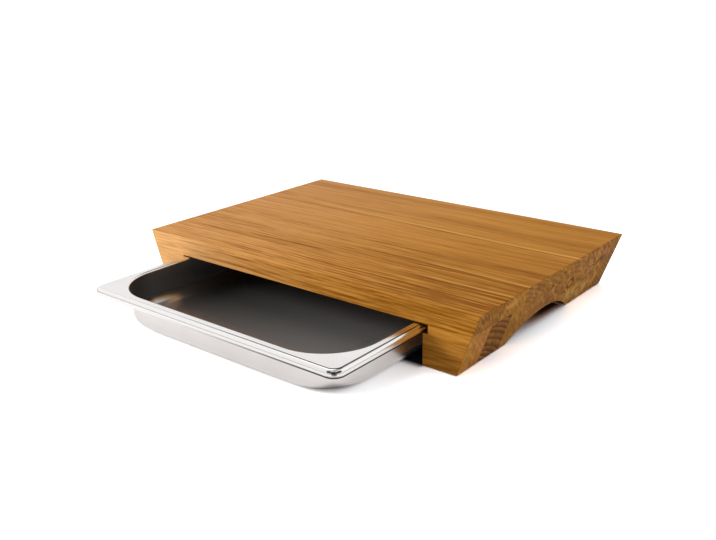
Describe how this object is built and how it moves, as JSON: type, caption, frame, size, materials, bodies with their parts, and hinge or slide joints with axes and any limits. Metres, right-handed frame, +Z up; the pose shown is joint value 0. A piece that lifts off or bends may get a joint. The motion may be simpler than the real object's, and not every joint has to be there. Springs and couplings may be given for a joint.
{
  "type": "cutting board with drawer tray",
  "caption": "Thick oak cutting block whose underside holds a shallow steel tray that slides out at the front.",
  "frame": {"origin": "under the middle of the whole object, on the plane it stands on, with the tray drawn out 121 mm as stored", "axes": "+X along the board's length and its top grain, +Y from the tray's side to the back, +Z up through the cutting surface"},
  "size_m": [0.4362, 0.415, 0.062],
  "materials": {
    "panel_oak": "oiled oak, satin, long grain",
    "rail_oak": "oiled oak, satin, end grain on the ends",
    "tray_steel": "satin stainless steel"
  },
  "bodies": {
    "board": {"top_stave_1": "panel_oak", "top_stave_2": "panel_oak", "top_stave_3": "panel_oak", "top_stave_4": "panel_oak", "top_stave_5": "panel_oak", "top_stave_6": "panel_oak", "top_stave_7": "panel_oak", "left_rail_block_1": "rail_oak", "left_rail_block_2": "rail_oak", "left_rail_block_3": "rail_oak", "left_rail_block_4": "rail_oak", "left_rail_block_5": "rail_oak", "left_rail_block_6": "rail_oak", "left_rail_block_7": "rail_oak", "right_rail_block_1": "rail_oak", "right_rail_block_2": "rail_oak", "right_rail_block_3": "rail_oak", "right_rail_block_4": "rail_oak", "right_rail_block_5": "rail_oak", "right_rail_block_6": "rail_oak", "right_rail_block_7": "rail_oak", "back_stave": "rail_oak"},
    "tray": {"tray": "tray_steel"}
  },
  "joints": [
    {"name": "tray_slide", "type": "slide", "parent": "board", "child": "tray", "axis": [0, -1, 0], "range_m": [-0.121, 0.144]}
  ]
}
